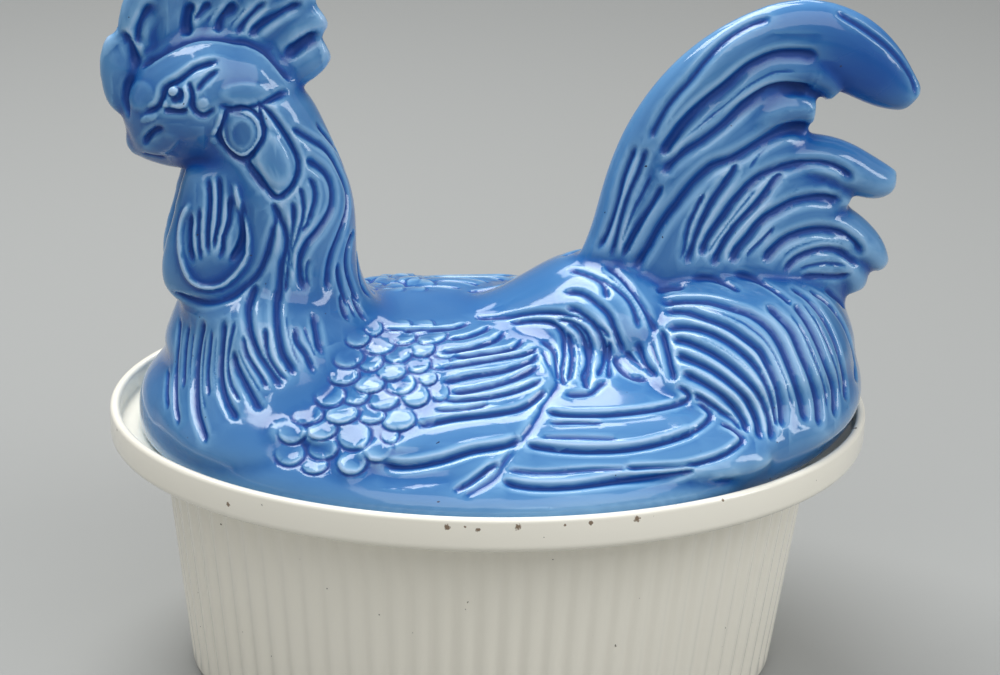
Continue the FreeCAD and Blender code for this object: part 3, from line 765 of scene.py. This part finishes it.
wattleFolds = [
    (1.0, 1.4, [(192, 210), (189, 230), (190, 250), (195, 266)]),
    (0.9, 0.9, [(200, 202), (198, 230), (200, 252), (201, 264)]),
    (1.0, 1.4, [(208, 174), (210, 200), (208, 230), (208, 250), (210, 258)]),
    (1.0, 1.4, [(218, 172), (220, 192), (219, 220), (215, 240), (213, 254)]),
    (1.0, 1.3, [(230, 192), (230, 220), (224, 238), (223, 250), (218, 262)]),
    (1.0, 1.4, [(239, 198), (243, 220), (243, 236), (238, 250), (228, 264)]),
]
hackleStrokes = [
    (1.5, 1.5, [(271, 200), (279, 216), (286, 232), (287, 248), (282, 268), (280, 290), (276, 310)]),
    (1.1, 1.1, [(290, 197), (294, 210), (293, 230), (290, 250), (287, 280), (283, 300)]),
    (1.5, 1.5, [(302, 158), (316, 164), (328, 174), (334, 190), (332, 210), (320, 230), (308, 244),
        (301, 260), (302, 280), (307, 294)]),
    (1.1, 1.1, [(305, 174), (314, 184), (316, 200), (310, 220), (307, 230)]),
    (0.9, 0.9, [(296, 180), (303, 196), (304, 216), (298, 236), (292, 256), (293, 280)]),
    (1.3, 1.2, [(288, 126), (310, 138), (328, 150), (340, 170), (348, 192), (348, 212), (340, 236),
        (331, 260), (328, 284), (330, 294)]),
    (1.0, 0.9, [(308, 212), (309, 222), (300, 236)]),
    (1.2, 1.1, [(355, 228), (348, 252), (348, 270), (354, 290), (362, 308)]),
    (1.1, 1.1, [(338, 258), (340, 280), (346, 300), (348, 312)]),
    (1.0, 0.8, [(314, 120), (336, 148), (352, 180), (357, 208), (357, 230), (358, 260), (362, 284),
        (372, 300)]),
    (1.0, 0.9, [(312, 254), (307, 268), (308, 284), (312, 290)]),
]
tailGrooves = [
    (1.5, 1.2, [(774, 17), (750, 24), (727, 38), (708, 57), (689, 81), (672, 100), (660, 119),
        (648, 143)]),
    (1.8, 1.8, [(822, 57), (798, 54), (774, 56), (750, 67), (727, 86), (703, 105), (684, 124),
        (670, 143), (660, 160)]),
    (1.8, 1.8, [(814, 90), (793, 87), (770, 90), (746, 105), (722, 126), (703, 140), (684, 152),
        (667, 167), (660, 177)]),
    (2.0, 2.0, [(820, 129), (793, 130), (770, 138), (746, 152), (731, 160), (712, 167), (693, 183),
        (677, 202), (660, 224), (646, 248), (631, 271)]),
    (1.5, 1.5, [(741, 157), (727, 181), (712, 202), (700, 226), (691, 250), (684, 267)]),
    (1.8, 1.8, [(855, 183), (841, 169), (822, 163), (798, 164), (774, 171), (755, 181), (736, 200),
        (722, 219), (708, 238), (698, 260)]),
    (1.6, 1.6, [(789, 168), (774, 181), (765, 195), (750, 212), (736, 226), (724, 243), (715, 260),
        (709, 268)]),
    (1.8, 1.8, [(845, 202), (822, 198), (798, 201), (779, 210), (762, 221), (748, 238), (736, 252),
        (731, 267)]),
    (1.8, 1.8, [(863, 258), (855, 243), (841, 233), (822, 230), (803, 233), (786, 240), (772, 252),
        (761, 265)]),
    (1.3, 1.2, [(860, 267), (841, 252), (822, 250), (800, 257), (786, 269), (781, 274)]),
    (1.0, 0.9, [(855, 274), (836, 277), (817, 276), (798, 277)]),
    (1.2, 1.2, [(637, 143), (624, 174), (617, 202), (608, 229), (596, 252)]),
    (1.2, 1.2, [(648, 145), (639, 171), (627, 198), (620, 221), (615, 243), (610, 260)]),
    (1.2, 1.2, [(665, 181), (653, 202), (641, 221), (629, 243), (621, 260)]),
    (1.1, 1.0, [(708, 188), (700, 202), (689, 226), (684, 250), (679, 264)]),
    (1.0, 0.9, [(762, 183), (748, 200), (731, 221), (717, 240), (703, 260)]),
    (1.1, 0.9, [(834, 10), (865, 29), (893, 51), (912, 77), (917, 98)]),
    (1.0, 0.7, [(798, 133), (774, 143), (758, 157), (746, 174)]),
    (1.0, 0.8, [(779, 221), (767, 236), (750, 252), (743, 264)]),
]
rumpGrooves = [
    (1.6, 1.6, [(658, 304), (680, 300), (708, 300), (736, 308), (752, 314), (768, 326), (780, 342),
        (790, 364), (798, 386), (804, 408), (806, 426)]),
    (1.6, 1.6, [(660, 310), (684, 310), (708, 318), (728, 326), (746, 338), (760, 350), (770, 368),
        (778, 388), (782, 410), (782, 432)]),
    (1.6, 1.6, [(662, 328), (684, 326), (706, 330), (730, 342), (750, 358), (764, 376), (772, 396),
        (777, 416), (778, 432)]),
    (1.6, 1.6, [(666, 338), (684, 340), (708, 350), (730, 364), (748, 380), (762, 398), (770, 416),
        (772, 432), (768, 442)]),
    (1.6, 1.6, [(670, 352), (688, 358), (710, 368), (730, 382), (746, 398), (756, 416), (760, 432),
        (760, 442)]),
    (1.6, 1.6, [(678, 370), (696, 378), (716, 390), (732, 404), (744, 420), (748, 436)]),
    (1.2, 1.1, [(688, 390), (704, 400), (720, 410), (734, 419), (745, 435)]),
    (1.6, 1.5, [(764, 302), (778, 314), (792, 330), (802, 352), (812, 376), (818, 398), (820, 418),
        (818, 430)]),
    (1.5, 1.4, [(792, 300), (806, 318), (816, 336), (826, 360), (834, 384), (836, 406), (834, 420)]),
    (1.4, 1.3, [(788, 286), (806, 296), (822, 314), (834, 336), (842, 360), (846, 384), (846, 404)]),
    (1.4, 1.3, [(806, 288), (826, 300), (842, 320), (852, 344), (856, 368), (856, 384)]),
    (1.2, 1.1, [(822, 287), (840, 301), (851, 320), (857, 340)]),
    (1.2, 1.0, [(688, 279), (710, 278), (732, 286), (741, 294)]),
    (1.2, 1.0, [(730, 273), (752, 278), (772, 288), (788, 300), (792, 309)]),
    (1.2, 0.9, [(654, 292), (672, 288), (688, 288)]),
]
saddleGrooves = [
    (1.2, 1.0, [(602, 264), (618, 274), (632, 290), (644, 308), (652, 324), (657, 336)]),
    (1.3, 1.2, [(566, 268), (586, 273), (603, 283), (608, 302)]),
    (1.3, 1.3, [(560, 292), (580, 292), (596, 302), (608, 314), (614, 328), (620, 344), (626, 356)]),
    (1.2, 1.0, [(594, 274), (614, 286), (628, 298), (636, 314), (640, 332)]),
    (1.3, 1.4, [(638, 338), (640, 352), (646, 365), (660, 378)]),
    (1.3, 1.5, [(660, 326), (664, 340), (668, 356), (672, 372), (676, 384)]),
    (1.3, 1.4, [(613, 349), (617, 363), (630, 375), (651, 381)]),
    (1.0, 0.9, [(620, 348), (635, 360), (648, 374)]),
    (1.3, 1.3, [(608, 334), (609, 348), (609, 368), (608, 380)]),
    (1.3, 1.3, [(560, 308), (576, 310), (590, 320), (600, 334), (605, 350), (603, 364), (596, 378)]),
    (1.2, 1.3, [(560, 320), (572, 324), (582, 336), (588, 354), (588, 370), (586, 383), (594, 392)]),
    (1.2, 1.2, [(560, 328), (568, 336), (572, 354), (570, 372), (566, 384)]),
    (1.2, 1.2, [(560, 393), (572, 394), (590, 392), (600, 384), (611, 380)]),
    (1.2, 1.1, [(472, 318), (505, 316), (542, 312), (575, 316), (600, 328), (615, 344)]),
    (1.2, 1.2, [(505, 323), (530, 320), (550, 322), (562, 332), (565, 350), (562, 370), (565, 388)]),
    (1.1, 1.1, [(538, 338), (554, 350), (557, 370), (559, 384)]),
    (1.2, 1.2, [(550, 318), (575, 323), (588, 338), (590, 358), (583, 375), (590, 388)]),
]
wingGrooves = [
    (1.0, 1.0, [(380, 329), (415, 330), (450, 328), (472, 322)]),
    (1.0, 1.0, [(445, 340), (468, 336), (486, 329), (490, 324)]),
    (1.0, 1.0, [(438, 354), (470, 348), (495, 340), (506, 330)]),
    (1.1, 1.1, [(450, 358), (485, 353), (512, 348), (524, 338)]),
    (1.0, 1.0, [(435, 369), (470, 363), (500, 358), (528, 353), (540, 346)]),
    (1.1, 1.1, [(440, 383), (470, 376), (505, 370), (532, 360), (540, 350)]),
    (1.2, 1.2, [(448, 394), (480, 388), (515, 378), (542, 364)]),
    (1.0, 1.0, [(440, 400), (480, 398), (518, 390), (545, 378)]),
    (1.0, 0.8, [(430, 410), (462, 410), (495, 403)]),
    (1.2, 1.2, [(415, 426), (455, 418), (495, 413), (525, 406), (550, 388)]),
    (1.5, 1.6, [(378, 463), (405, 466), (440, 460), (472, 450), (508, 444), (525, 436)]),
    (1.2, 1.0, [(450, 493), (470, 483), (488, 470), (505, 460)]),
    (1.2, 1.2, [(542, 410), (568, 414), (605, 414), (645, 410), (675, 404), (688, 398)]),
    (0.9, 0.7, [(545, 423), (580, 422), (610, 423)]),
    (1.4, 1.5, [(522, 443), (555, 448), (590, 450), (630, 448), (668, 440), (700, 428)]),
    (1.4, 1.5, [(498, 480), (530, 486), (568, 486), (618, 480), (660, 476), (700, 470)]),
    (1.0, 0.6, [(532, 438), (580, 438), (625, 440)]),
    (1.0, 0.6, [(502, 470), (542, 473), (592, 470), (635, 470)]),
    (1.14, 0.98, [(668, 406), (680, 403), (688, 398), (686, 392), (674, 384)]),
    (1.14, 1.05, [(650, 442), (690, 432), (707, 421), (710, 413), (702, 405), (692, 400)]),
    (1.14, 1.05, [(620, 469), (650, 468), (684, 466), (720, 456), (739, 444), (742, 437),
        (732, 428), (716, 422)]),
]
featherTips = [
    (1.5, 0.55, [(458, 499), (475, 490), (495, 478), (505, 460), (520, 443), (528, 432),
        (540, 414), (543, 405), (557, 386), (555, 375), (540, 346)]),
]
browGroove = [
    (1.2, 1.4, [(142, 114), (150, 111), (158, 106), (162, 97), (164, 89), (170, 84), (178, 80),
        (187, 73), (196, 67), (208, 63), (222, 60)]),
]
strokeGroups = [(withFiner(strokes), 0.0) for strokes in (
    breastStrokes, combValleys, hackleStrokes, tailGrooves, rumpGrooves, saddleGrooves)]
strokeGroups += [  # strokes that stay as they are, and how far their one side stands proud
    (crestLine + faceGrooves + earlobeRing + dropRing + wattleEdge + wattleRim + wattleFolds, 0.0),
    (browGroove, 0.6), (wingGrooves, 0.7), (featherTips, 0.9)]

# Pads, in pixels of the photograph
facePads = [  # x, y, half width, half height, turn in degrees, height and groove in mm
    (173, 91, 5.8, 5.8, 0, 1.5, 1.0), (164, 104, 4.2, 4.6, 0, 0.5, 0), (171, 78, 6, 5, -20, 0.3, 0),
    (203, 103, 7, 6, 0, 0.45, 0), (246, 94, 30, 14, 2, 0.6, 0), (242, 134, 19, 23, 0, 0.8, 0),
    (242, 134, 12, 16, 0, -0.5, 0), (273, 160, 20, 35, -24, 1.1, 0), (141, 96, 18, 18, -30, 0.5, 0),
    (149, 118, 11, 5, -20, 0.45, 0), (261, 108, 4.5, 5, 0, 0.4, 0), (214, 141, 5, 4, 30, 0.4, 0),
    (160, 146, 24, 12, -25, 0.35, 0),
]
scaleOvals = [  # x, y, half width, half height
    (374, 328, 9, 8), (358, 338, 12, 9), (380, 346, 15, 9), (403, 338, 13, 7), (398, 326, 13, 7),
    (421, 326, 13, 7), (432, 337, 15, 7), (349, 358, 15, 10), (370, 360, 13, 11), (398, 354, 14, 9),
    (422, 348, 13, 9), (446, 352, 11, 7), (344, 376, 15, 9), (392, 370, 15, 11), (418, 364, 13, 9),
    (440, 362, 10, 7), (370, 384, 15, 9), (401, 384, 15, 11), (428, 378, 9, 7), (330, 396, 15, 11),
    (356, 396, 13, 9), (384, 400, 15, 10), (416, 396, 13, 11), (440, 392, 9, 9), (308, 415, 15, 10),
    (342, 414, 17, 10), (372, 416, 13, 8), (399, 420, 17, 11), (428, 416, 11, 9),
    (292, 432, 14, 12), (322, 430, 15, 10), (354, 435, 17, 15), (390, 435, 9, 9),
    (290, 453, 15, 13), (323, 448, 15, 12), (378, 450, 15, 12), (352, 462, 15, 13),
    (315, 465, 13, 9),
]
scalePads = [(*oval, lid["scaleTurn"], lid["scaleHeight"], lid["scaleGroove"]) for oval in scaleOvals]


def neighbourMean(mesh):  # a function that averages a value over each vertex's neighbours
    edges = np.empty(len(mesh.edges) * 2, np.int64)
    mesh.edges.foreach_get("vertices", edges)
    first, second = edges.reshape(-1, 2).T
    count = len(mesh.vertices)
    links = np.bincount(first, minlength=count) + np.bincount(second, minlength=count)

    def mean(data):
        total = np.bincount(first, data[second], count) + np.bincount(second, data[first], count)
        return total / np.maximum(links, 1)
    return mean


def carveFigure(piece, tree):
    mesh = piece.data
    points = readRows(mesh.vertices, "co")
    normals = readRows(mesh.vertex_normals, "vector")
    folded = nearSide(points)  # the far side is carved as the near side is
    foldedNormals = normals.copy()
    foldedNormals[:, 1] = np.where(points[:, 1] > 0, -normals[:, 1], normals[:, 1])
    facing = (foldedNormals * (folded - np.array(viewPlace))).sum(1) < 0.0
    outside = folded[:, 2] > cadLip
    cuts = np.zeros(len(points))
    rises = np.zeros(len(points))
    raisePads(folded, facing & outside, tree, scalePads, cuts, rises, scales=True)
    raisePads(folded, facing & outside, tree, facePads, cuts, rises)
    for strokes, step in strokeGroups:
        for stroke in strokes:
            carveStroke(folded, tree, stroke, step, cuts, rises)
    change = np.where(outside, rises - cuts, 0.0)
    moveVertices(mesh, points + normals * change[:, None])
    print("figure carved:", len(points), "points")


def storeGlazeAndPaintedLight(piece):  # below 0 in a hollow, where glaze gathers in a pool and painted shade darkens it, above 0 on an edge, where glaze thins and a painted highlight pales it; the spots add painted shade and light
    mesh = piece.data
    points = readRows(mesh.vertices, "co")
    normals = readRows(mesh.vertex_normals, "vector")
    mean = neighbourMean(mesh)
    spread = points.copy()
    # painted shade on the face, neck and tail tip, painted light on the wing
    poolsAndPaintedLight = softSpots(nearSide(points), lid["thickness"])
    # hollows get pooled glaze and painted shade, ridges get thinned glaze and a painted highlight
    for rounds, weight in lid["poolAndShadeRounds"]:
        for _ in range(rounds):
            spread = np.stack([mean(spread[:, axis]) for axis in range(3)], axis=1)
        poolsAndPaintedLight += weight * ((points - spread) * normals).sum(1) / mm
    layer = mesh.attributes.new("glazeThinAndPaintedLight", "FLOAT", "POINT")
    layer.data.foreach_set("value", poolsAndPaintedLight.astype(np.float32))
    print("glaze pools:", np.percentile(poolsAndPaintedLight, (2, 25, 50, 75, 98)).round(3))


def blueGlaze():
    glaze = Glaze("blueGlaze")
    thinAndLight = glaze.attribute("glazeThinAndPaintedLight")
    drift = (glaze.noise(lid["driftScale"], detail=3.0) - 0.5) * lid["driftShare"]
    # base colour paints pooled glaze and painted shade dark, thinned glaze and painted highlights pale
    shade = (thinAndLight * lid["thinAndLightScale"] + lid["shadeMiddle"] + drift).clamped()
    pooled = (thinAndLight * lid["pooledSlope"] - lid["pooledStart"]).clamped() * lid["pooledDull"]
    glaze.feed("Base Color", glaze.specked(glaze.ramp(shade, lid["shades"]), lid))
    rough = lid["roughness"] + glaze.rippled(lid) * lid["rippleRoughness"]
    glaze.feed("Roughness", rough + pooled)
    glaze.feed("Specular IOR Level", lid["specular"])
    glaze.feed("Coat Weight", lid["coat"] - pooled)
    return glaze.material


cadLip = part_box("rooster_lid")[0].z + lid["lipHeight"] * mm
lidPiece, blankTree = makeBlank()
print("blank figure:", len(lidPiece.data.vertices), "points")
carveFigure(lidPiece, blankTree)
storeGlazeAndPaintedLight(lidPiece)
triangles = 2 * len(lidPiece.data.polygons)
if triangles > lid["triangles"]:
    addModifier(lidPiece, "DECIMATE", ratio=lid["triangles"] / triangles)
lidPiece.data.materials.clear()
lidPiece.data.materials.append(blueGlaze())
makeActive(lidPiece)
bpy.ops.object.shade_smooth()
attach(lidPiece, "lid")
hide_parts("rooster_lid")
print("lid made:", len(lidPiece.data.polygons), "faces")

# End
print("scene built")
